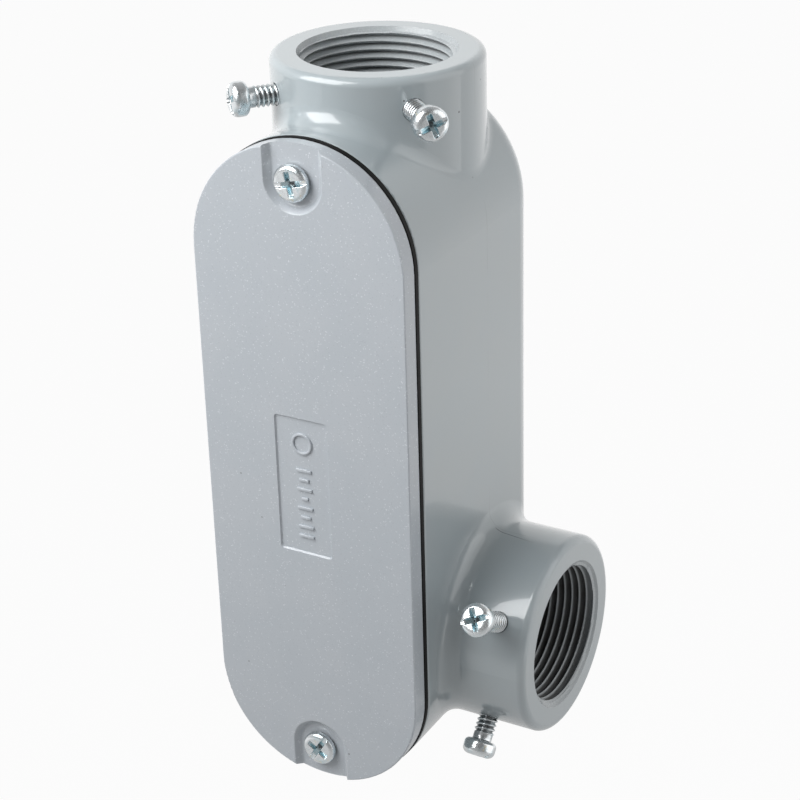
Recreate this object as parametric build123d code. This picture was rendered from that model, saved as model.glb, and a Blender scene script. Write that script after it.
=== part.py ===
from build123d import *
from math import atan2, degrees
import os

# Side-outlet conduit body: a one-piece casting with two threaded conduit hubs, a flat cover on a gasket,
# two cover screws and two set screws in each hub.
# Millimetres. The origin is the middle of the top hub's face, +Z runs up out of the top hub, +X out of the
# side hub, and the cover faces -Y. Both hub axes lie in the plane y = 0.

# Hubs
hub_outer_diameter = 56.1
hub_bore_diameter = 42.0
hub_thread_length = 19.0
hub_rim_round = 2.2
hub_blend_radius = 5.0
throat_diameter = 35.0
throat_length = 3.5
throat_round = 2.0
throat_relief = 2.5

# Casting
hub_shoulder = 3.15
seat_ahead_of_hub = 8.95
back_behind_hub = 0.15
body_arc_spacing = 124.1
back_edge_round = 8.7
seat_edge_round = 0.7
side_wall = 3.2
back_wall = 3.6
cavity_round = 6.0
top_hub_rise = 12.4
side_hub_reach = 23.9
side_hub_above_lower_arc = 6.9

# Cover and gasket
gasket_thickness = 1.4
gasket_inset = 0.1
gasket_lip = 2.2
cover_thickness = 5.4
cover_inset = 0.3
cover_edge_round = 0.4
cover_back_edge_round = 0.3
screw_recess_inset = 9.8
screw_recess_radius = 8.5
screw_recess_depth = 2.0
screw_recess_draft = 1.5
screw_recess_round = 0.8
label_width = 16.0
label_height = 40.0
label_depth = 0.5
label_draft = 0.35
label_corner_round = 1.0
label_off_centre = 1.2
label_below_middle = 1.5

# Cover screws, which sit a little to the left of and below the middle of their recesses
cover_screw_left_of_recess = 0.6
cover_screw_below_recess = 0.6
cover_screw_diameter = 4.8
cover_screw_length = 15.0
cover_screw_head_diameter = 9.9
cover_screw_head_height = 2.7
cover_screw_head_round = 1.4
cover_screw_hole_clearance = 0.3
boss_wall = 3.1
boss_depth = 14.0
boss_floor = 1.0
gasket_pad_margin = 0.5

# Set screws
set_screw_diameter = 5.8
set_screw_length = 13.5
set_screw_head_diameter = 9.1
set_screw_head_height = 4.5
set_screw_head_round = 1.6

# Screws in general
tapped_hole_clearance = 0.05
tip_chamfer = 0.7
drive_slot_width = 1.3
drive_slot_depth = 1.3
cross_width = 1.6
cross_reach = 0.62
cross_depth = 1.9

# Where each set screw sits: its angle round the hub, anticlockwise from the cover's side as seen looking
# into the hub, its distance behind the hub's face, and how far its head stands off the hub
top_left_angle = -40.0
top_left_behind_face = 8.5
top_left_stand_off = 7.6
top_right_angle = 48.0
top_right_behind_face = 8.3
top_right_stand_off = 9.7
side_upper_angle = -31.0
side_upper_behind_face = 9.3
side_upper_stand_off = 11.8
side_lower_angle = 50.0
side_lower_behind_face = 15.5
side_lower_stand_off = 6.6

# How far a cutting shape runs past the face that it opens, and how closely a place is matched
overcut = 1.0
match_tolerance = 0.02

# Places worked out from the sizes above
hub_radius = hub_outer_diameter / 2
bore_radius = hub_bore_diameter / 2
throat_radius = throat_diameter / 2
body_half = hub_radius + hub_shoulder
body_front = hub_radius + seat_ahead_of_hub
body_back = hub_radius + back_behind_hub
upper_arc_z = -top_hub_rise - body_half
lower_arc_z = upper_arc_z - body_arc_spacing
body_top_z = upper_arc_z + body_half
body_bottom_z = lower_arc_z - body_half
body_middle_z = (upper_arc_z + lower_arc_z) / 2
side_hub_z = lower_arc_z + side_hub_above_lower_arc
side_hub_face = body_half + side_hub_reach
throat_end = hub_thread_length + throat_length
seat_y = -body_front
cover_back_y = seat_y - gasket_thickness
cover_front_y = cover_back_y - cover_thickness
recess_floor_y = cover_front_y + screw_recess_depth
recess_zs = {
    "cover_screw_upper": body_top_z - screw_recess_inset,
    "cover_screw_lower": body_bottom_z + screw_recess_inset,
}
cover_screw_x = -cover_screw_left_of_recess
cover_screw_zs = {name: z - cover_screw_below_recess for name, z in recess_zs.items()}
tapped_radius = cover_screw_diameter / 2 + tapped_hole_clearance
boss_radius = tapped_radius + boss_wall
cavity_half = body_half - side_wall
neck_front_y = -bore_radius - side_wall
hub_planes = {
    "top": Plane(origin=(0, 0, 0), x_dir=(0, -1, 0), z_dir=(0, 0, 1)),
    "side": Plane(origin=(side_hub_face, 0, side_hub_z), x_dir=(0, -1, 0), z_dir=(1, 0, 0)),
}
set_screws = {
    "top_set_screw_left": ("top", top_left_angle, top_left_behind_face, top_left_stand_off),
    "top_set_screw_right": ("top", top_right_angle, top_right_behind_face, top_right_stand_off),
    "side_set_screw_upper": ("side", side_upper_angle, side_upper_behind_face, side_upper_stand_off),
    "side_set_screw_lower": ("side", side_lower_angle, side_lower_behind_face, side_lower_stand_off),
}


# A round-ended block between two depths, y being positive towards the back.
def stadium(half_width, back_y, front_y):
    outline = Pos(0, body_middle_z) * SlotCenterToCenter(body_arc_spacing, 2 * half_width, rotation=90)
    return extrude(Plane.XZ.offset(-back_y) * outline, back_y - front_y)


# A box from its lowest and highest corners.
def block(low, high):
    size = [b - a for a, b in zip(low, high)]
    middle = [(a + b) / 2 for a, b in zip(low, high)]
    return Pos(*middle) * Box(*size)


# A straight round bar on the axis of a cover screw, between two depths.
def screw_bar(radius, z, back_y, front_y):
    return extrude(Plane.XZ.offset(-back_y) * Pos(cover_screw_x, z) * Circle(radius), back_y - front_y)


# The curved edges where a hub's outside meets the casting, leaving out the rim at its face.
def hub_foot_edges(shape, plane):
    found = []
    for edge in shape.edges().filter_by(GeomType.LINE, reverse=True):
        samples = [plane.to_local_coords(edge @ t) for t in (0.1, 0.5, 0.9)]
        on_tube = all(abs((p.X**2 + p.Y**2) ** 0.5 - hub_radius) < match_tolerance for p in samples)
        if on_tube and max(p.Z for p in samples) < -hub_rim_round:
            found.append(edge)
    return found


# The bore of a hub: the length for the thread, the shoulder that stops the conduit, the throat with its
# inner lip rounded for the wires, and a relief behind it that opens into the wiring space.
def hub_bore(reach):
    relief_radius = throat_radius + throat_relief
    outline = Polyline(
        (0, overcut),
        (bore_radius, overcut),
        (bore_radius, -hub_thread_length),
        (throat_radius, -hub_thread_length),
        (throat_radius, -throat_end),
        (relief_radius, -throat_end),
        (relief_radius, -reach),
        (0, -reach),
        close=True,
    )
    profile = make_face(outline)
    lip = profile.vertices().sort_by_distance((throat_radius, -throat_end))[0]
    return revolve(Plane.XZ * fillet(lip, throat_round), Axis.Z)


# Where a set screw crosses the outside of its hub, with Z pointing straight out of the hub.
def set_screw_place(hub, angle, behind_face):
    return hub_planes[hub].location * Rot(0, 0, angle) * Pos(hub_radius, 0, -behind_face) * Rot(0, 90, 0)


# Where a cover screw's head sits on its recess, with Z pointing out of the cover.
def cover_screw_place(z):
    return Pos(cover_screw_x, recess_floor_y, z) * Rot(90, 0, 0)


def make_body():
    casting = stadium(body_half, body_back, seat_y)
    casting = fillet(casting.faces().sort_by(Axis.Y)[-1].edges(), back_edge_round)
    top_hub = block_hub("top", -upper_arc_z)
    side_hub = block_hub("side", side_hub_face)
    casting = casting + top_hub + side_hub
    for plane in hub_planes.values():
        casting = fillet(hub_foot_edges(casting, plane), hub_blend_radius)
    for plane in hub_planes.values():
        rim = [
            edge
            for edge in casting.edges().filter_by(GeomType.CIRCLE)
            if abs(plane.to_local_coords(edge @ 0.5).Z) < match_tolerance
        ]
        casting = fillet(rim, hub_rim_round)
    seat = casting.faces().sort_by(Axis.Y)[0]
    casting = fillet(seat.edges(), seat_edge_round)
    casting = casting - wiring_space()
    for name, plane in hub_planes.items():
        reach = throat_end + overcut if name == "top" else side_hub_face - cavity_half / 2
        casting = casting - plane.location * hub_bore(reach)
    for z in cover_screw_zs.values():
        casting = casting - screw_bar(tapped_radius, z, seat_y + boss_depth - boss_floor, seat_y)
    for hub, angle, behind_face, _ in set_screws.values():
        hole_length = 2 * (hub_radius - bore_radius + overcut)
        hole = Cylinder(set_screw_diameter / 2 + tapped_hole_clearance, hole_length)
        casting = casting - set_screw_place(hub, angle, behind_face) * hole
    return casting


# A solid hub from its face back into the casting.
def block_hub(name, length):
    return hub_planes[name].location * Pos(0, 0, -length / 2) * Cylinder(hub_radius, length)


# The hollow behind the cover: a round-ended chamber that stops below the top hub's throat, rises in front
# of that hub's bore, and leaves a boss at each end for a cover screw.
def wiring_space():
    chamber = stadium(cavity_half, body_back - back_wall, seat_y)
    chamber = fillet(chamber.faces().sort_by(Axis.Y)[-1].edges(), cavity_round)
    neck = block((-body_half, neck_front_y, -throat_end), (body_half, body_back, 0))
    chamber = chamber - neck
    boss_back_y = seat_y + boss_depth
    for z, end_z in zip(cover_screw_zs.values(), (body_top_z, body_bottom_z)):
        boss = screw_bar(boss_radius, z, boss_back_y, seat_y)
        web_low = (cover_screw_x - boss_radius, seat_y, min(z, end_z))
        web_high = (cover_screw_x + boss_radius, boss_back_y, max(z, end_z))
        chamber = chamber - boss - block(web_low, web_high)
    return chamber


def make_gasket():
    sheet = stadium(body_half - gasket_inset, seat_y, cover_back_y)
    window = stadium(cavity_half - gasket_lip, seat_y, cover_back_y)
    pad_radius = boss_radius + gasket_pad_margin
    for z, end_z in zip(cover_screw_zs.values(), (body_top_z, body_bottom_z)):
        pad = screw_bar(pad_radius, z, seat_y, cover_back_y)
        pad_low = (cover_screw_x - pad_radius, cover_back_y, min(z, end_z))
        pad_high = (cover_screw_x + pad_radius, seat_y, max(z, end_z))
        window = window - pad - block(pad_low, pad_high)
        hole_radius = cover_screw_diameter / 2 + cover_screw_hole_clearance
        sheet = sheet - screw_bar(hole_radius, z, seat_y, cover_back_y)
    return sheet - window


# A pocket in the cover's front from its outline on the floor, with walls that lean outwards.
def drafted_pocket(floor_outline, depth, draft):
    plane = Plane.XZ.offset(-cover_front_y - depth)
    lean = degrees(atan2(draft, depth))
    return extrude(plane * floor_outline, depth + overcut, taper=-lean)


# The pocket round a cover screw, open at the cover's end, with its floor edge rounded.
def screw_recess(z, outward):
    floor_radius = screw_recess_radius - screw_recess_draft
    reach = 2 * screw_recess_inset
    outline = Circle(floor_radius)
    outline += Pos(0, outward * reach / 2) * Rectangle(2 * floor_radius, reach)
    pocket = drafted_pocket(Pos(0, z) * outline, screw_recess_depth, screw_recess_draft)
    floor = pocket.faces().sort_by(Axis.Y)[-1]
    rounded = [e for e in floor.edges() if abs((e @ 0.5).Z - z - outward * reach) > match_tolerance]
    return fillet(rounded, screw_recess_round)


def make_cover():
    plate = stadium(body_half - cover_inset, cover_back_y, cover_front_y)
    plate = fillet(plate.faces().sort_by(Axis.Y)[-1].edges(), cover_back_edge_round)
    plate = plate - screw_recess(recess_zs["cover_screw_upper"], 1)
    plate = plate - screw_recess(recess_zs["cover_screw_lower"], -1)
    front = plate.faces().filter_by(Axis.Y).sort_by(Axis.Y)[0]
    plate = fillet(front.edges(), cover_edge_round)
    floor_size = (label_width - 2 * label_draft, label_height - 2 * label_draft)
    label = RectangleRounded(*floor_size, label_corner_round - label_draft)
    label = Pos(-label_off_centre, body_middle_z - label_below_middle) * label
    plate = plate - drafted_pocket(label, label_depth, label_draft)
    for z in cover_screw_zs.values():
        hole_radius = cover_screw_diameter / 2 + cover_screw_hole_clearance
        plate = plate - screw_bar(hole_radius, z, cover_back_y, cover_front_y)
    return plate


# A machine screw along Z with its head's underside at z = 0: a round-edged head with a slot and a cross
# recess, and a plain shank of the thread's outside diameter.
def machine_screw(head_diameter, head_height, head_round, shank_diameter, length):
    head = Pos(0, 0, head_height / 2) * Cylinder(head_diameter / 2, head_height)
    head = fillet(head.edges().sort_by(Axis.Z)[-1], head_round)
    slot = Box(head_diameter, drive_slot_width, 2 * drive_slot_depth)
    cross = Box(cross_width, cross_reach * head_diameter, 2 * cross_depth)
    cross += Box(cross_reach * head_diameter, cross_width, 2 * cross_depth)
    head = head - Pos(0, 0, head_height) * (slot + cross)
    shank = Pos(0, 0, -length / 2) * Cylinder(shank_diameter / 2, length)
    shank = chamfer(shank.edges().sort_by(Axis.Z)[0], tip_chamfer)
    return head + shank


def make_cover_screw(z):
    screw = machine_screw(
        cover_screw_head_diameter,
        cover_screw_head_height,
        cover_screw_head_round,
        cover_screw_diameter,
        cover_screw_length,
    )
    return cover_screw_place(z) * screw


def make_set_screw(hub, angle, behind_face, stand_off):
    screw = machine_screw(
        set_screw_head_diameter,
        set_screw_head_height,
        set_screw_head_round,
        set_screw_diameter,
        set_screw_length,
    )
    return set_screw_place(hub, angle, behind_face) * Pos(0, 0, stand_off) * screw


pieces = {"body": make_body(), "gasket": make_gasket(), "cover": make_cover()}
for name, z in cover_screw_zs.items():
    pieces[name] = make_cover_screw(z)
for name, placing in set_screws.items():
    pieces[name] = make_set_screw(*placing)

os.makedirs("parts", exist_ok=True)
for name, piece in pieces.items():
    export_step(piece, f"parts/{name}.step")
    print(name, round(piece.volume / 1000, 2), "cm3")
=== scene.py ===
import math

import bmesh
import bpy
from mathutils import Matrix, Vector


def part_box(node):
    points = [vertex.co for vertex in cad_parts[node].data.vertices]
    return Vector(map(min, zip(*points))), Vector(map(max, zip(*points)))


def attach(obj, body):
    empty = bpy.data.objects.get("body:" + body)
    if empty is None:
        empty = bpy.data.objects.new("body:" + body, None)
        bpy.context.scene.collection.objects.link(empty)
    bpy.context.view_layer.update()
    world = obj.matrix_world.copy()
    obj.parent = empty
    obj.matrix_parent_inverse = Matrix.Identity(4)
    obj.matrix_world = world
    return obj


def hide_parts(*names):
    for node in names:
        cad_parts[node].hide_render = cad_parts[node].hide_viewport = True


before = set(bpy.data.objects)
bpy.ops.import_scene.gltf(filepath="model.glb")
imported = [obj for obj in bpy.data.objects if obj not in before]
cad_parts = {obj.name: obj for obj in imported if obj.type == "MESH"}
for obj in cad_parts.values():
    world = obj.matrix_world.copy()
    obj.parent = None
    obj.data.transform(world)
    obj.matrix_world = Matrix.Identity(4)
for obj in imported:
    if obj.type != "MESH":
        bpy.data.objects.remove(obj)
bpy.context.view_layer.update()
mm = 0.001
print("frame loaded,", len(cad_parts), "nodes")


def metres(values):
    return [value * mm for value in values]


# Shader maths


class Signal:
    def __init__(self, tree, socket):
        self.tree = tree
        self.socket = socket

    def node(self, kind, settings, inputs, output=0):
        made = self.tree.nodes.new(kind)
        for name, value in settings.items():
            setattr(made, name, value)
        for name, value in inputs.items():
            if isinstance(value, Signal):
                self.tree.links.new(value.socket, made.inputs[name])
            else:
                made.inputs[name].default_value = value
        return Signal(self.tree, made.outputs[output]) if made.outputs else None

    def maths(self, operation, *values):
        return self.node("ShaderNodeMath", {"operation": operation}, dict(enumerate(values)))

    def __add__(self, other):
        return self.maths("ADD", self, other)

    def __radd__(self, other):
        return self.maths("ADD", other, self)

    def __sub__(self, other):
        return self.maths("SUBTRACT", self, other)

    def __rsub__(self, other):
        return self.maths("SUBTRACT", other, self)

    def __mul__(self, other):
        return self.maths("MULTIPLY", self, other)

    def __rmul__(self, other):
        return self.maths("MULTIPLY", other, self)

    def __abs__(self):
        return self.maths("ABSOLUTE", self)

    def __gt__(self, other):
        return self.maths("GREATER_THAN", self, other)

    def __lt__(self, other):
        return self.maths("LESS_THAN", self, other)


def noise(place, scale, detail=3.0, roughness=0.5, distortion=0.0):
    shape = {"Scale": scale, "Detail": detail, "Roughness": roughness, "Distortion": distortion}
    return place.node("ShaderNodeTexNoise", {}, {"Vector": place, **shape})


def cellDistance(place, scale):
    return place.node("ShaderNodeTexVoronoi", {}, {"Vector": place, "Scale": scale})


# All the outputs of the node that a signal comes from.
def outputs(signal):
    return [Signal(signal.tree, socket) for socket in signal.socket.node.outputs]


# Three random shares for each cell, which don't follow each other.
def cellShares(place, scale):
    colour = place.node("ShaderNodeTexVoronoi", {}, {"Vector": place, "Scale": scale}, output=1)
    return outputs(colour.node("ShaderNodeSeparateColor", {}, {0: colour}))


def stretch(value, low, high, newLow=0.0, newHigh=1.0):
    limits = {"From Min": low, "From Max": high, "To Min": newLow, "To Max": newHigh}
    return value.node("ShaderNodeMapRange", {"clamp": True}, {"Value": value, **limits})


# 1 below the low limit and 0 above the high one.
def fade(value, low, high):
    return stretch(value, low, high, 1.0, 0.0)


# The middle tones of a noise, spread from a little under a value to a little over it.
def spread(pattern, value, under, over):
    return stretch(pattern, 0.3, 0.7, value - under, value + over)


def tint(factor, colourA, colourB):
    mixed = {"data_type": "RGBA"}
    return factor.node("ShaderNodeMix", mixed, {0: factor, 6: colourA, 7: colourB}, output=2)


def axes(place):
    return outputs(place.node("ShaderNodeSeparateXYZ", {}, {0: place}))


# Distance from the Z axis, and height along it.
def roundAxis(place):
    across, along, height = axes(place)
    return across.maths("SQRT", across * across + along * along), height


def distanceTo(place, point):
    ends = {0: place, 1: metres(point)}
    return place.node("ShaderNodeVectorMath", {"operation": "DISTANCE"}, ends, output=1)


# 1 inside small round marks on the surface, 0 outside. Each mark is (x, y, z, radius) in mm.
def specks(place, marks):
    total = 0.0
    for *point, radius in marks:
        total = fade(distanceTo(place, point), radius * 0.6 * mm, radius * mm) + total
    return total


# A bump's look is its strength and its depth in mm.
def bump(height, look, before=None):
    strength, depth = look
    values = {"Height": height, "Strength": strength, "Distance": depth * mm}
    if before is not None:
        values["Normal"] = before
    return height.node("ShaderNodeBump", {}, values)


# A material whose varying values and constants all go to one Principled shader.
def finish(name, build):
    material = bpy.data.materials.new(name)
    material.use_nodes = True
    tree = material.node_tree
    tree.nodes.clear()
    place = Signal(tree, tree.nodes.new("ShaderNodeTexCoord").outputs["Object"])
    surface = place.node("ShaderNodeBsdfPrincipled", {}, build(place))
    surface.node("ShaderNodeOutputMaterial", {}, {"Surface": surface})
    return material


def rgb(*levels):
    return (*levels, 1.0)


# Gloss grey enamel of the casting. In every finish a noise is its scale and detail, a span is the
# noise levels where a mark starts and is full, and a roughness is a value, then how far it goes
# under and over that value.

enamel = {
    "colour": rgb(0.419, 0.474, 0.499),
    "warmer": rgb(0.430, 0.477, 0.495),
    "dust": rgb(0.540, 0.560, 0.565),
    "dustAmount": 0.25,
    "pit": rgb(0.085, 0.088, 0.090),
    "pitAmount": 0.6,
    "markAmount": 0.85,
    "partingAmount": 0.30,
    "flowAmount": 0.8,
    "roughness": (0.23, 0.015, 0.03),
    "pitRoughness": 0.3,
    "ior": 1.5,
    "coat": 0.85,
    "coatRoughness": 0.04,
    "cloud": (45, 3),
    "peel": (420, 2),
    "grain": (1500, 2),
    "fine": (4200, 2),
    "cloudSpan": (0.35, 0.65),
    "dustSpan": (0.66, 0.82),
    "wornSpan": (0.45, 0.6),
    "pitScale": 210.0,
    "pitPick": 0.86,
    "pitRadius": 0.045,
    "partingWidth": 0.14,
    "peelBump": (0.35, 0.012),
    "grainBump": (0.3, 0.004),
    "cloudBump": (0.25, 0.20),
    "partingBump": (0.25, 0.04),
    "pitBump": (0.5, 0.05),
    "marks": [
        (-19.9, -19.8, -14.1, 0.42),
        (19.06, -20.57, -5.73, 0.34),
        (27.78, 3.73, -5.88, 0.32),
        (27.15, -7.0, -11.43, 0.36),
        (43.41, -20.52, -179.91, 0.55),
    ],
}
flowLine = {
    "start": (33.3, -0.8),
    "end": 46.0,
    "slope": -0.126,
    "above": -138,
    "core": 0.05,
    "edge": 0.20,
    "fadeIn": 0.6,
    "fadeOut": 6,
}


# A short dark flow line of the casting, on top of the side hub beside the body.
def flowMask(place):
    x, y, z = axes(place)
    startX, startY = metres(flowLine["start"])
    end = flowLine["end"] * mm
    bend = y - startY - (x - startX) * flowLine["slope"]
    thin = fade(abs(bend), flowLine["core"] * mm, flowLine["edge"] * mm)
    ends = stretch(x, startX, startX + flowLine["fadeIn"] * mm)
    ends = ends * fade(x, end - flowLine["fadeOut"] * mm, end)
    return thin * ends * (z > flowLine["above"] * mm)


def enamelFinish(place):
    cloud = noise(place, *enamel["cloud"])
    peel = noise(place, *enamel["peel"])
    grain = noise(place, *enamel["grain"])
    fine = noise(place, *enamel["fine"])
    chosen = cellShares(place, enamel["pitScale"])[0] > enamel["pitPick"]
    pits = (cellDistance(place, enamel["pitScale"]) < enamel["pitRadius"]) * chosen
    parting = fade(abs(axes(place)[1]), 0.0, enamel["partingWidth"] * mm)
    worn = stretch(cloud, *enamel["wornSpan"]) * enamel["partingAmount"]
    dust = stretch(fine, *enamel["dustSpan"]) * enamel["dustAmount"]
    colour = tint(stretch(cloud, *enamel["cloudSpan"]), enamel["colour"], enamel["warmer"])
    colour = tint(dust, colour, enamel["dust"])
    colour = tint(pits * enamel["pitAmount"], colour, enamel["pit"])
    colour = tint(specks(place, enamel["marks"]) * enamel["markAmount"], colour, enamel["pit"])
    colour = tint(parting * worn, colour, enamel["pit"])
    colour = tint(flowMask(place) * enamel["flowAmount"], colour, enamel["pit"])
    skin = bump(peel, enamel["peelBump"])
    skin = bump(grain, enamel["grainBump"], skin)
    skin = bump(cloud, enamel["cloudBump"], skin)
    skin = bump(parting, enamel["partingBump"], skin)
    skin = bump(1 - pits, enamel["pitBump"], skin)
    return {
        "Base Color": colour,
        "Roughness": spread(cloud, *enamel["roughness"]) + pits * enamel["pitRoughness"],
        "Normal": skin,
        "IOR": enamel["ior"],
        "Coat Weight": enamel["coat"],
        "Coat Roughness": enamel["coatRoughness"],
    }


# Satin grey paint of the cover, with a fine sparkle

coverPaint = {
    "colour": rgb(0.518, 0.560, 0.602),
    "paler": rgb(0.536, 0.574, 0.614),
    "flake": rgb(0.780, 0.810, 0.850),
    "flakeAmounts": (0.15, 0.75),
    "hollow": rgb(0.370, 0.400, 0.440),
    "hollowAmount": 0.25,
    "speckleAmount": 0.12,
    "pit": rgb(0.130, 0.130, 0.140),
    "pitAmount": 0.5,
    "markAmount": 0.7,
    "roughness": (0.36, 0.05, 0.06),
    "ior": 1.5,
    "coat": 0.6,
    "coatRoughness": 0.12,
    "cloud": (60, 3),
    "speckle": (2600, 2),
    "cloudSpan": (0.38, 0.62),
    "speckleSpan": (0.30, 0.70),
    "flakeScale": 3300.0,
    "flakePick": 0.965,
    "hollowPick": 0.03,
    "pitScale": 120.0,
    "pitRadius": 0.02,
    "flakeBump": (0.15, 0.03),
    "speckleBump": (0.15, 0.06),
    "cloudBump": (0.2, 0.3),
    "marks": [
        (-20.72, -43.8, -107.41, 0.30),
        (-14.84, -43.8, -119.35, 0.26),
        (-22.18, -43.8, -167.0, 0.28),
        (9.36, -43.8, -188.25, 0.34),
    ],
}


def coverFinish(place):
    paint = coverPaint
    cloud = noise(place, *paint["cloud"])
    speckle = noise(place, *paint["speckle"])
    flakePick, flakeTilt = cellShares(place, paint["flakeScale"])[:2]
    flakes = stretch(flakeTilt, 0.0, 1.0, *paint["flakeAmounts"])
    flakes = (flakePick > paint["flakePick"]) * flakes
    hollows = (flakePick < paint["hollowPick"]) * paint["hollowAmount"]
    pits = cellDistance(place, paint["pitScale"]) < paint["pitRadius"]
    speckled = stretch(speckle, *paint["speckleSpan"]) * paint["speckleAmount"]
    colour = tint(stretch(cloud, *paint["cloudSpan"]), paint["colour"], paint["paler"])
    colour = tint(speckled, colour, paint["hollow"])
    colour = tint(flakes, colour, paint["flake"])
    colour = tint(hollows, colour, paint["hollow"])
    colour = tint(pits * paint["pitAmount"], colour, paint["pit"])
    colour = tint(specks(place, paint["marks"]) * paint["markAmount"], colour, paint["pit"])
    skin = bump(flakeTilt, paint["flakeBump"])
    skin = bump(speckle, paint["speckleBump"], skin)
    skin = bump(cloud, paint["cloudBump"], skin)
    return {
        "Base Color": colour,
        "Roughness": spread(speckle, *paint["roughness"]),
        "Normal": skin,
        "IOR": paint["ior"],
        "Coat Weight": paint["coat"],
        "Coat Roughness": paint["coatRoughness"],
    }


# Black sheet rubber

rubber = {
    "colour": rgb(0.004, 0.004, 0.004),
    "bloom": rgb(0.014, 0.013, 0.013),
    "bloomAmount": 0.6,
    "roughness": (0.70, 0.06, 0.08),
    "specular": 0.25,
    "grain": (3000, 3),
    "patches": (140, 4),
    "bloomSpan": (0.45, 0.75),
    "grainBump": (0.2, 0.08),
}


def rubberFinish(place):
    grain = noise(place, *rubber["grain"])
    bloom = stretch(noise(place, *rubber["patches"]), *rubber["bloomSpan"])
    return {
        "Base Color": tint(bloom * rubber["bloomAmount"], rubber["colour"], rubber["bloom"]),
        "Roughness": spread(grain, *rubber["roughness"]),
        "Normal": bump(grain, rubber["grainBump"]),
        "Specular IOR Level": rubber["specular"],
    }


# Bright zinc plate: bluish white with faint yellow patches, with painted shade in the thread
# grooves, in the middle of the recess and under the head. A span of four ends with the two amounts
# that it goes between. Depths are under the head's face or under the thread's ridge.

zinc = {
    "colour": rgb(0.765, 0.795, 0.810),
    "blue": rgb(0.480, 0.670, 0.730),
    "blueAmount": 0.35,
    "yellow": rgb(0.800, 0.690, 0.430),
    "yellowAmount": 0.5,
    # Colour of the painted shade in the grooves, the recess middle and under the head.
    "shadeColour": rgb(0.090, 0.085, 0.085),
    "middleShadeAmount": 0.9,
    "seatShadeAmount": 0.85,
    "roughness": (0.22, 0.03, 0.08),
    "patch": (330, 3, 0.6),
    "bloom": (520, 2, 0.5, 0.6),
    "scuff": (2600, 3),
    "dents": (700, 2),
    "blueSpan": (0.50, 0.64),
    "yellowSpan": (0.64, 0.74),
    "recessSpan": (0.35, 0.6, 0.55, 0.9),
    # Amounts of painted shade in the thread's grooves.
    "threadSpan": (0.3, 0.6, 0.72, 0.45),
    "headEdge": 0.3,
    "recessDepths": (0.2, 0.45),
    "recessRadii": (2.6, 3.0),
    "middleDepths": (0.8, 1.6),
    "middleRadii": (0.6, 1.3),
    "shankHeights": (-1.0, -0.2),
    "grooveDepths": (0.06, 0.40),
    "scuffBump": (0.3, 0.04),
    "dentBump": (0.5, 0.12),
}


# Heights are those of one kind of screw, and 0 is where its head sits.
def zincFinish(place, screw):
    patch = noise(place, *zinc["patch"])
    bloom = noise(place, *zinc["bloom"])
    scuff = noise(place, *zinc["scuff"])
    dents = noise(place, *zinc["dents"])
    radius, height = roundAxis(place)
    underFace = screw["headHeight"] * mm - height
    inHead = stretch(height, 0.0, zinc["headEdge"] * mm)
    recess = stretch(underFace, *metres(zinc["recessDepths"]))
    recess = recess * inHead * fade(radius, *metres(zinc["recessRadii"]))
    # Painted shade in the deep middle of the recess.
    middle = stretch(underFace, *metres(zinc["middleDepths"]))
    middle = middle * inHead * fade(radius, *metres(zinc["middleRadii"]))
    shank = fade(height, *metres(zinc["shankHeights"]))
    groove = stretch(screw["ridge"] * mm - radius, *metres(zinc["grooveDepths"]))
    # Painted shade under the head, where it sits in its seat.
    seat = stretch(height, 0.0, screw["seatShade"] * mm, zinc["seatShadeAmount"], 0.0)
    seat = seat * stretch(height, -zinc["headEdge"] * mm, 0.0)
    blue = stretch(patch, *zinc["blueSpan"]) * zinc["blueAmount"]
    yellow = stretch(bloom, *zinc["yellowSpan"]) * zinc["yellowAmount"]
    colour = tint(blue, zinc["colour"], zinc["blue"])
    colour = tint(yellow, colour, zinc["yellow"])
    colour = tint(recess * stretch(patch, *zinc["recessSpan"]), colour, zinc["blue"])
    # Painted shade: the recess middle, the thread's grooves and the seat are darkened.
    colour = tint(middle * zinc["middleShadeAmount"], colour, zinc["shadeColour"])
    colour = tint(shank * groove * stretch(bloom, *zinc["threadSpan"]), colour, zinc["shadeColour"])
    colour = tint(seat, colour, zinc["shadeColour"])
    return {
        "Base Color": colour,
        "Metallic": 1.0,
        "Roughness": spread(scuff, *zinc["roughness"]),
        "Normal": bump(scuff, zinc["scuffBump"], bump(dents, zinc["dentBump"])),
    }


# Paint in the hub mouths: enamelled crests, with painted shade in the grooves

threadPaint = {
    "colour": rgb(0.450, 0.484, 0.500),
    "crest": rgb(0.560, 0.585, 0.596),
    "crestAmount": 0.3,
    # Colour of the painted shade in the grooves.
    "groove": rgb(0.050, 0.045, 0.043),
    "roughness": (0.20, 0.0, 0.1),
    "grooveRoughness": 0.3,
    "cloud": (120, 3),
    "fine": (2200, 3),
    "crestSpan": (0.4, 0.7),
    "shadeSpan": (0.25, 0.75),
    "shadeSpread": 0.25,
    "mouth": (-3.0, -1.8),
    "fineBump": (0.12, 0.06),
    # How dark the painted shade gets in each hub's grooves.
    "top": {"crestRadius": 20.2, "grooveRadius": 20.9, "dark": 0.85},
    "side": {"crestRadius": 19.4, "grooveRadius": 19.85, "dark": 0.95},
}


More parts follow.
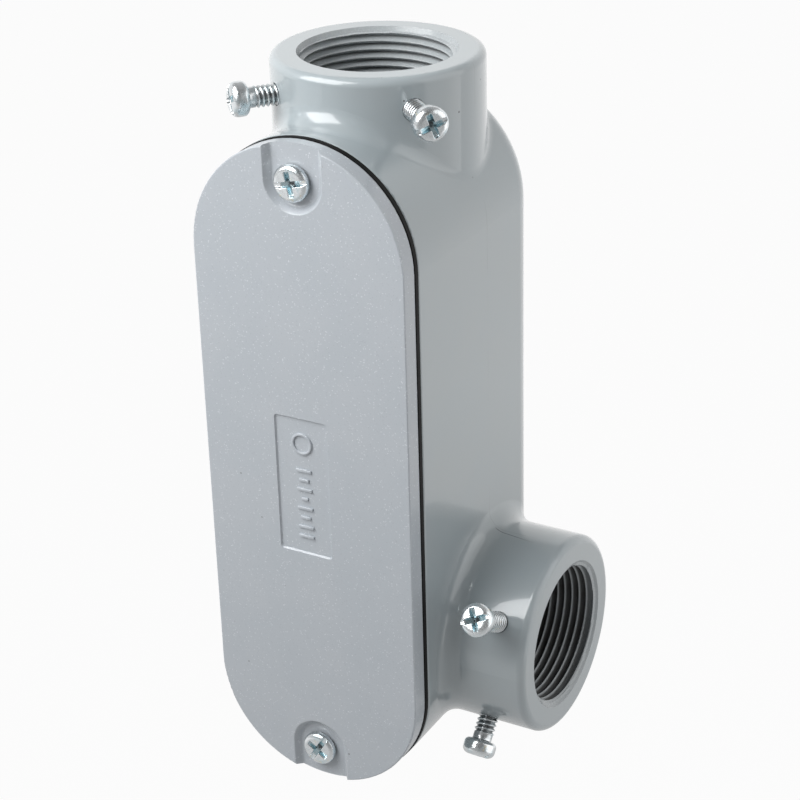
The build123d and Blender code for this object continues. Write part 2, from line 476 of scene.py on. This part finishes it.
# Painted shade in the grooves: darker in the side hub than in the top hub, and none at the mouth.
def threadFinish(place, hub):
    paint, grooveShade = threadPaint, threadPaint[hub]
    cloud = noise(place, *paint["cloud"])
    fine = noise(place, *paint["fine"])
    radius, height = roundAxis(place)
    radius = radius - height * hubThread["taper"]
    inside = fade(height, *metres(paint["mouth"]))
    # Painted shade where the radius nears the thread's root.
    groove = stretch(radius, grooveShade["crestRadius"] * mm, grooveShade["grooveRadius"] * mm) * inside
    crests = stretch(fine, *paint["crestSpan"]) * paint["crestAmount"]
    dark = stretch(cloud, *paint["shadeSpan"], grooveShade["dark"] - paint["shadeSpread"], grooveShade["dark"])
    colour = tint(crests, paint["colour"], paint["crest"])
    return {
        "Base Color": tint(groove * dark, colour, paint["groove"]),
        "Roughness": spread(fine, *paint["roughness"]) + groove * paint["grooveRoughness"],
        "Normal": bump(fine, paint["fineBump"]),
    }


enamelMaterial = finish("castingEnamel", enamelFinish)
coverMaterial = finish("coverPaint", coverFinish)
rubberMaterial = finish("gasketRubber", rubberFinish)
print("materials made")


# Mesh helpers

mergeDistance = 0.0004 * mm


def quarterTurn(axis):
    return Matrix.Rotation(math.pi / 2, 4, axis)


def addPiece(name, mesh):
    data = bpy.data.meshes.new(name)
    mesh.to_mesh(data)
    mesh.free()
    piece = bpy.data.objects.new(name, data)
    bpy.context.scene.collection.objects.link(piece)
    return piece


# A closed skin from rows of (height, radius) taken round the Z axis. A row is a pair, or a function
# of the turn (0 to 1) where it belongs to a helix. Neighbouring rows that meet are merged.
def lathe(name, rows, columns, closed=False):
    mesh = bmesh.new()
    grid = []
    for row in rows:
        line = []
        for column in range(columns + 1):
            turn = column / columns
            height, radius = row(turn) if callable(row) else row
            angle = 2 * math.pi * turn
            x, y = radius * math.cos(angle), radius * math.sin(angle)
            line.append(mesh.verts.new((x * mm, y * mm, height * mm)))
        grid.append(line)
    if closed:
        grid.append(grid[0])
    for lower, upper in zip(grid, grid[1:]):
        for i in range(columns):
            mesh.faces.new((lower[i], lower[i + 1], upper[i + 1], upper[i]))
    bmesh.ops.remove_doubles(mesh, verts=mesh.verts, dist=mergeDistance)
    bmesh.ops.dissolve_degenerate(mesh, edges=mesh.edges, dist=mergeDistance)
    bmesh.ops.recalc_face_normals(mesh, faces=mesh.faces)
    return addPiece(name, mesh)


def smoothShade(piece, sharpAngle):
    piece.data.polygons.foreach_set("use_smooth", [True] * len(piece.data.polygons))
    piece.data.set_sharp_from_angle(angle=math.radians(sharpAngle))


def dress(piece, material, body):
    piece.data.materials.clear()
    piece.data.materials.append(material)
    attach(piece, body)


# How far a thread has gone from its ridge (0) into its groove (1) at a share of one pitch. The
# flat in the groove and the slope beside it are shares of half a pitch.
def threadShare(phase, flat, slope):
    ridge = abs(2 * phase - 1)
    return 1 - min(max((ridge - flat) / slope, 0), 1)


# Rows of a thread between two heights. radiusAt gives the surface's radius at a height and a share.
def threadRows(low, high, pitch, steps, slopes, radiusAt):
    rows = []
    count = math.ceil((high - low + pitch) / pitch) * steps
    for i in range(count + 1):
        start = low - pitch + i * pitch / steps
        share = threadShare((i % steps) / steps, *slopes)

        def row(turn, start=start, share=share):
            height = min(max(start + pitch * turn, low), high)
            return height, radiusAt(height, share)

        rows.append(row)
    return rows


# Where each set screw sits: its angle round the hub, its distance behind the hub's face, how far
# its head stands off, and the turn of its slot, which differs from screw to screw.

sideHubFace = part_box("body")[1].x
sideHubHeight = -160.8 * mm
sideHubMiddle = Matrix.Translation((sideHubFace, 0, sideHubHeight))
hubOutside = 28.05
hubFrames = {
    "top": Matrix(((0, 1, 0, 0), (-1, 0, 0, 0), (0, 0, 1, 0), (0, 0, 0, 1))),
    "side": sideHubMiddle @ Matrix(((0, 0, 1, 0), (-1, 0, 0, 0), (0, -1, 0, 0), (0, 0, 0, 1))),
}
setScrews = {
    "top_set_screw_left": dict(hub="top", angle=-40, behind=8.5, standOff=7.6, turn=25),
    "top_set_screw_right": dict(hub="top", angle=48, behind=8.3, standOff=9.7, turn=110),
    "side_set_screw_upper": dict(hub="side", angle=-31, behind=9.3, standOff=11.8, turn=26),
    "side_set_screw_lower": dict(hub="side", angle=50, behind=15.5, standOff=6.6, turn=20),
}


def setScrewPlace(where, standOff):
    around = Matrix.Rotation(math.radians(where["angle"]), 4, "Z")
    out = Matrix.Translation(((hubOutside + standOff) * mm, 0, -where["behind"] * mm))
    return hubFrames[where["hub"]] @ around @ out @ quarterTurn("Y")


# Hub threads

hubThread = {
    "outer": 20.98,
    "root": 20.90,
    "crest": 19.25,
    "taper": 1 / 32,
    "pitch": 2.209,
    "flanks": (0.06, 0.84),
    "depth": 19.0,
    "coneDepth": {"top": 1.4, "side": 0.7},
    "coneRadius": 20.25,
    "startInCone": 0.55,
    "runOut": 1.6,
    "runIn": 0.7,
    "steps": 12,
    "columns": 144,
    "outerRows": 19,
    "turn": {"top": 123, "side": 0},
    "hole": 2.95,
    "holeSpan": (-12, -6),
    "holeColumns": 48,
    "sliver": 0.003,
    "sharp": 28,
}
threadMaterials = {
    hub: finish(hub + "HubThread", lambda place, hub=hub: threadFinish(place, hub))
    for hub in ("top", "side")
}


def hubRadius(hub, height, share):
    coneDepth = hubThread["coneDepth"][hub]
    crest = hubThread["crest"] + height * hubThread["taper"]
    runIn = max(0, -height - coneDepth * hubThread["startInCone"]) / hubThread["runIn"]
    runOut = (height + hubThread["depth"]) / hubThread["runOut"]
    grooveDepth = hubThread["root"] - hubThread["crest"]
    ridge = crest + grooveDepth * share * min(1, runOut, runIn)
    slope = min(1, -height / coneDepth)
    cone = hubThread["outer"] + (hubThread["coneRadius"] - hubThread["outer"]) * slope
    return max(ridge, cone) if height > -coneDepth else max(ridge, crest)


# A tapped hole through the thread, so that the set screw can come in.
def drill(piece, place):
    low, high = hubThread["holeSpan"]
    radius = hubThread["hole"]
    rows = [(low, 0), (low, radius), (high, radius), (high, 0)]
    cutter = lathe("drill", rows, hubThread["holeColumns"])
    cutter.matrix_world = place
    cut = piece.modifiers.new("hole", "BOOLEAN")
    cut.operation = "DIFFERENCE"
    cut.solver = "EXACT"
    cut.object = cutter
    bpy.context.view_layer.update()
    whole = piece.data
    drilled = piece.evaluated_get(bpy.context.evaluated_depsgraph_get())
    piece.data = bpy.data.meshes.new_from_object(drilled)
    piece.modifiers.clear()
    bpy.data.objects.remove(cutter)
    bpy.data.meshes.remove(whole)
    clearSlivers(piece)


# The cut leaves slivers and faces with many corners, which don't export as a closed mesh.
def clearSlivers(piece):
    sliver = hubThread["sliver"] * mm
    mesh = bmesh.new()
    mesh.from_mesh(piece.data)
    bmesh.ops.dissolve_degenerate(mesh, edges=mesh.edges, dist=sliver)
    bmesh.ops.triangulate(mesh, faces=[face for face in mesh.faces if len(face.verts) > 4])
    bmesh.ops.dissolve_degenerate(mesh, edges=mesh.edges, dist=sliver)
    mesh.to_mesh(piece.data)
    mesh.free()


def makeHubThread(hub, place):
    depth, count = hubThread["depth"], hubThread["outerRows"]

    def radiusAt(height, share):
        return hubRadius(hub, height, share)

    pitch, steps, flanks = (hubThread[key] for key in ("pitch", "steps", "flanks"))
    rows = threadRows(-depth, 0.0, pitch, steps, flanks, radiusAt)
    rows += [(-depth * step / count, hubThread["outer"]) for step in range(count + 1)]
    piece = lathe(hub + "HubThread", rows, hubThread["columns"], closed=True)
    piece.data.transform(Matrix.Rotation(math.radians(hubThread["turn"][hub]), 4, "Z"))
    piece.matrix_world = place
    for where in setScrews.values():
        if where["hub"] == hub:
            drill(piece, setScrewPlace(where, 0))
    smoothShade(piece, hubThread["sharp"])
    dress(piece, threadMaterials[hub], "housing")


makeHubThread("top", Matrix())
makeHubThread("side", sideHubMiddle @ quarterTurn("Y"))
print("hub threads made")


# Screws

setScrew = {
    "headRadius": 4.55,
    "headHeight": 4.5,
    "edgeRound": 1.9,
    "backRound": 1.3,
    "seatShade": 0.15,
    "neckRadius": 2.68,
    "neckLength": 1.8,
    "ridge": 2.9,
    "groove": 2.25,
    "pitch": 1.27,
    "length": 13.5,
    "tipRadius": 2.2,
    "slotWidth": 1.15,
    "slotDepth": 0.9,
    "crossReach": 3.15,
    "crossWidth": 1.4,
    "crossDepth": 2.5,
    "crossEndDepth": 0.9,
    "edgeSoftness": 0.2,
}
coverScrew = dict(
    setScrew,
    headRadius=4.95,
    headHeight=2.7,
    edgeRound=1.4,
    backRound=1.0,
    seatShade=1.0,
    neckRadius=2.2,
    neckLength=1.0,
    ridge=2.4,
    groove=1.85,
    pitch=1.058,
    length=15.0,
    tipRadius=1.75,
    crossReach=3.2,
    crossDepth=2.0,
    crossEndDepth=0.8,
)
screwMesh = {
    "columns": 168,
    "flanks": (0.08, 0.80),
    "threadSteps": 8,
    "runIn": 0.4,
    "runOut": 0.8,
    "tipBevel": 0.4,
    "tipHeight": 0.5,
    "fillet": ((-0.25, 0.0), (-0.05, 0.05), (0.0, 0.2)),
    "underHead": 0.1,
    "backSteps": 8,
    "edgeSteps": 20,
    "faceStep": 0.075,
    "sharp": 80,
}


# How far the slot and the cross reach down into the head at a point of its face.
def recessDepth(screw, x, y):
    def within(offset, half):
        return min(max((half - abs(offset)) / screw["edgeSoftness"] + 0.5, 0), 1)

    deepest = screw["slotDepth"] * within(y, screw["slotWidth"] / 2)
    rise = screw["crossEndDepth"] - screw["crossDepth"]
    for along, aside in ((x, y), (y, x)):
        depth = screw["crossDepth"] + rise * min(abs(along) / screw["crossReach"], 1)
        wing = depth * within(aside, screw["crossWidth"] / 2) * within(along, screw["crossReach"])
        deepest = max(deepest, wing)
    return deepest


def headRow(screw, height, radius, turned):
    def row(turn):
        angle = 2 * math.pi * turn - turned
        deep = recessDepth(screw, radius * math.cos(angle), radius * math.sin(angle))
        return min(height, screw["headHeight"] - deep), radius

    return row


def shankRows(screw):
    shape = screwMesh
    neck, tip, end = screw["neckRadius"], screw["tipRadius"], -screw["length"]
    low, high = end + shape["tipHeight"], -screw["neckLength"]

    def radiusAt(height, share):
        full = screw["ridge"] + (screw["groove"] - screw["ridge"]) * share
        top = min(1, (high - height) / shape["runIn"])
        bottom = min(1, (height - low) / shape["runOut"])
        radius = neck + (full - neck) * max(0, top)
        return tip + (radius - tip) * max(0, bottom)

    rows = [(end, 0.0), (end, tip - shape["tipBevel"])]
    rows += threadRows(low, high, screw["pitch"], shape["threadSteps"], shape["flanks"], radiusAt)
    return rows + [(height, neck + wider) for height, wider in shape["fillet"]]


def headRows(screw, turned):
    back, edge = screw["backRound"], screw["edgeRound"]
    rows = [(0.0, screw["headRadius"] - back - screwMesh["underHead"])]
    for step in range(screwMesh["backSteps"] + 1):
        angle = math.radians(90 * step / screwMesh["backSteps"])
        radius = screw["headRadius"] - back * (1 - math.sin(angle))
        rows.append((back * (1 - math.cos(angle)), radius))
    for step in range(screwMesh["edgeSteps"] + 1):
        angle = math.radians(90 * step / screwMesh["edgeSteps"])
        height = screw["headHeight"] - edge + edge * math.sin(angle)
        radius = screw["headRadius"] - edge * (1 - math.cos(angle))
        rows.append(headRow(screw, height, radius, turned))
    face = screw["headRadius"] - edge
    count = math.ceil(face / screwMesh["faceStep"])
    for step in range(1, count + 1):
        rows.append(headRow(screw, screw["headHeight"], face * (1 - step / count), turned))
    return rows


def makeScrew(name, screw, material, place, turn, body, node):
    rows = shankRows(screw) + headRows(screw, math.radians(turn))
    piece = lathe(name, rows, screwMesh["columns"])
    piece.matrix_world = place
    smoothShade(piece, screwMesh["sharp"])
    dress(piece, material, body)
    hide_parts(node)


setScrewZinc = finish("setScrewZinc", lambda place: zincFinish(place, setScrew))
for node, where in setScrews.items():
    words = node.split("_")
    name = words[0] + "SetScrew" + words[-1].capitalize()
    place = setScrewPlace(where, where["standOff"])
    makeScrew(name, setScrew, setScrewZinc, place, where["turn"], node + "_body", node)

coverScrewZinc = finish("coverScrewZinc", lambda place: zincFinish(place, coverScrew))
coverScrewSeat = (-0.6, -41.8)  # across the cover, and the pockets' floor
coverScrews = {"upper": {"height": -22.8, "turn": 12}, "lower": {"height": -189.7, "turn": 58}}
for which, where in coverScrews.items():
    middle = metres((*coverScrewSeat, where["height"]))
    place = Matrix.Translation(middle) @ quarterTurn("X")
    name, body = "coverScrew" + which.capitalize(), which + "_cover_screw"
    makeScrew(name, coverScrew, coverScrewZinc, place, where["turn"], body, "cover_screw_" + which)
print("screws made")


# Raised ring and bars on the cover's label panel

label = {
    "floor": -43.3,
    "rise": 0.48,
    "sunk": 0.05,
    "sharp": 50,
    "ringAcross": -1.23,
    "ringHeight": -94.6,
    "ringRadius": 2.75,
    "ringWidth": 0.75,
    "ringSoft": 0.12,
    "ringColumns": 64,
    "barAcross": -1.0,
    "barThickness": 0.85,
    "barSoft": 0.13,
    "barTop": -102.4,
    "barSpacing": 2.8,
    "barWidths": (4.6, 3.0, 4.6, 2.0, 4.6, 3.0, 4.6, 4.6),
}


def makeRing():
    inner = label["ringRadius"] - label["ringWidth"] / 2
    outer = label["ringRadius"] + label["ringWidth"] / 2
    soft, rise, sunk = label["ringSoft"], label["rise"], -label["sunk"]
    rows = [(sunk, inner), (rise - soft, inner), (rise, inner + soft)]
    rows += [(rise, outer - soft), (rise - soft, outer), (sunk, outer)]
    ring = lathe("labelRing", rows, label["ringColumns"], closed=True)
    middle = [label[key] * mm for key in ("ringAcross", "floor", "ringHeight")]
    ring.matrix_world = Matrix.Translation(middle) @ quarterTurn("X")
    smoothShade(ring, label["sharp"])
    dress(ring, coverMaterial, "cover_plate")


def makeBars():
    mesh = bmesh.new()
    front = label["floor"] - (label["rise"] - label["sunk"]) / 2
    for i, width in enumerate(label["barWidths"]):
        size = (width, label["rise"] + label["sunk"], label["barThickness"])
        middle = (label["barAcross"], front, label["barTop"] - i * label["barSpacing"])
        made = bmesh.ops.create_cube(mesh, size=1.0)
        for vert in made["verts"]:
            vert.co = [(m + c * s) * mm for m, c, s in zip(middle, vert.co, size)]
    soft = label["barSoft"] * mm
    bmesh.ops.bevel(mesh, geom=mesh.edges[:], offset=soft, segments=2, profile=0.5, affect="EDGES")
    bars = addPiece("labelBars", mesh)
    smoothShade(bars, label["sharp"])
    dress(bars, coverMaterial, "cover_plate")


makeRing()
makeBars()
print("label panel made")


# Finishes of the modelled parts

partMaterials = {"body": enamelMaterial, "cover": coverMaterial, "gasket": rubberMaterial}
for node, material in partMaterials.items():
    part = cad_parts[node].data
    part.materials.clear()
    part.materials.append(material)


# Camera

viewpoint = {
    "place": (0.26549, -0.45604, 0.15174),
    "azimuth": 29.857,
    "elevation": 25.537,
    "roll": -1.623,
    "focal": 94.854,
    "nearest": 0.01,
}


# A unit vector from an azimuth, 0 in front of the cover and 90 on its right, and an elevation.
def towards(azimuth, elevation):
    flat = math.cos(elevation)
    return Vector((math.sin(azimuth) * flat, -math.cos(azimuth) * flat, math.sin(elevation)))


def makeCamera():
    azimuth, roll = math.radians(viewpoint["azimuth"]), math.radians(viewpoint["roll"])
    back = towards(azimuth, math.radians(viewpoint["elevation"]))
    level = Vector((math.cos(azimuth), math.sin(azimuth), 0))
    upright = back.cross(level)
    right = level * math.cos(roll) + upright * math.sin(roll)
    up = upright * math.cos(roll) - level * math.sin(roll)
    camera = bpy.data.objects.new("camera", bpy.data.cameras.new("camera"))
    camera.data.lens = viewpoint["focal"]
    camera.data.clip_start = viewpoint["nearest"]
    turned = Matrix((right, up, back)).transposed().to_4x4()
    camera.matrix_world = Matrix.Translation(viewpoint["place"]) @ turned
    bpy.context.scene.collection.objects.link(camera)
    bpy.context.scene.camera = camera


makeCamera()


# Studio. Levels are shares of white, and the reflected ones are what gloss and metal see.

studio = {
    "middle": (0.01, -0.01, -0.10),
    "ambient": 0.14,
    "ambientLeft": 0.20,
    "ambientBack": 0.12,
    "reflected": 0.22,
    "reflectedBack": 1.10,
    "reflectedLeft": 0.35,
    "reflectedAbove": 0.45,
    "aboveFrom": (0.50, 0.60),
    "floorHeight": -0.55,
    "floorSize": 6.0,
    "floorColour": rgb(0.45, 0.45, 0.45),
    "floorGlow": 0.96,
    "floorBounce": 0.20,
    # Glow that reflections see on the floor near the object: a painted shadow.
    "floorNear": 0.45,
    "nearReach": (0.5, 1.0),
    "floorRight": 0.35,
    "rightReach": (0.2, 1.4),
}
lamps = {
    "leftSoftbox": {
        "azimuth": -38,
        "elevation": 44,
        "distance": 0.54,
        "width": 0.42,
        "height": 0.42,
        "power": 3.0,
    },
    "rightSoftbox": {
        "azimuth": 103,
        "elevation": 14,
        "distance": 0.85,
        "width": 0.80,
        "height": 1.40,
        "power": 2.9,
    },
}


def makeLamp(name, lamp):
    away = towards(math.radians(lamp["azimuth"]), math.radians(lamp["elevation"]))
    data = bpy.data.lights.new(name, "AREA")
    data.shape = "RECTANGLE"
    data.size = lamp["width"]
    data.size_y = lamp["height"]
    data.energy = lamp["power"]
    light = bpy.data.objects.new(name, data)
    light.rotation_mode = "QUATERNION"
    light.rotation_quaternion = (-away).to_track_quat("-Z", "Y")
    light.location = Vector(studio["middle"]) + away * lamp["distance"]
    bpy.context.scene.collection.objects.link(light)


# How much a direction looks towards the side that an axis points to: 1 there, 0 opposite.
def sideLight(value):
    return value * 0.5 + 0.5


# 1 for what the camera sees directly, and 1 for what gloss, metal and glass see.
def rays(tree):
    path = tree.nodes.new("ShaderNodeLightPath")
    kinds = ("Is Camera Ray", "Is Glossy Ray", "Is Transmission Ray")
    camera, glossy, clear = (Signal(tree, path.outputs[kind]) for kind in kinds)
    return camera, glossy.maths("MAXIMUM", glossy, clear)


def makeWorld():
    world = bpy.data.worlds.new("studio")
    world.use_nodes = True
    tree = world.node_tree
    tree.nodes.clear()
    camera, mirrored = rays(tree)
    way = Signal(tree, tree.nodes.new("ShaderNodeTexCoord").outputs["Generated"])
    across, along, height = axes(way)
    left, back = sideLight(across * -1), sideLight(along)
    ambient = left * studio["ambientLeft"] + back * studio["ambientBack"] + studio["ambient"]
    reflected = back * back * studio["reflectedBack"] + left * studio["reflectedLeft"]
    reflected = reflected + studio["reflected"]
    reflected = reflected.maths("MINIMUM", reflected, 1.0)
    reflected = reflected * stretch(height, *studio["aboveFrom"], 1.0, studio["reflectedAbove"])
    level = camera + (1 - camera) * (mirrored * reflected + (1 - mirrored) * ambient)
    light = level.node("ShaderNodeBackground", {}, {"Color": rgb(1, 1, 1), "Strength": level})
    light.node("ShaderNodeOutputWorld", {}, {"Surface": light})
    bpy.context.scene.world = world


# How much of the floor's look is glow: nearly all for the camera, which sees white with a faint
# shadow; for reflections less on its right and less near the object, where it is a painted shadow
# that gloss and metal see; and a little for the light that it throws back.
def floorGlow(tree):
    camera, mirrored = rays(tree)
    place = Signal(tree, tree.nodes.new("ShaderNodeTexCoord").outputs["Object"])
    across, along = axes(place)[:2]
    reach = across.maths("SQRT", across * across + along * along)
    right = stretch(across - along, *studio["rightReach"], 1.0, studio["floorRight"])
    far = stretch(reach, *studio["nearReach"], studio["floorNear"], 1.0) * right
    bounce = (1 - camera) * (1 - mirrored) * studio["floorBounce"]
    return camera * studio["floorGlow"] + mirrored * far + bounce


def makeFloor():
    half = studio["floorSize"] / 2
    corners = [(-half, -half), (half, -half), (half, half), (-half, half)]
    data = bpy.data.meshes.new("floor")
    data.from_pydata([(x, y, studio["floorHeight"]) for x, y in corners], [], [(0, 1, 2, 3)])
    floor = bpy.data.objects.new("floor", data)
    bpy.context.scene.collection.objects.link(floor)
    material = bpy.data.materials.new("floorPaper")
    material.use_nodes = True
    tree = material.node_tree
    tree.nodes.clear()
    glowing = floorGlow(tree)
    paper = glowing.node("ShaderNodeBsdfDiffuse", {}, {"Color": studio["floorColour"]})
    glow = glowing.node("ShaderNodeEmission", {}, {"Color": rgb(1, 1, 1), "Strength": 1.0})
    lit = glowing.node("ShaderNodeMixShader", {}, {0: glowing, 1: paper, 2: glow})
    under = Signal(tree, tree.nodes.new("ShaderNodeNewGeometry").outputs["Backfacing"])
    clear = glowing.node("ShaderNodeBsdfTransparent", {}, {})  # seen from below
    surface = glowing.node("ShaderNodeMixShader", {}, {0: under, 1: lit, 2: clear})
    surface.node("ShaderNodeOutputMaterial", {}, {"Surface": surface})
    data.materials.append(material)


for name, lamp in lamps.items():
    makeLamp(name, lamp)
makeWorld()
makeFloor()
bpy.context.scene.view_settings.view_transform = "Standard"
print("camera, lamps and floor set")
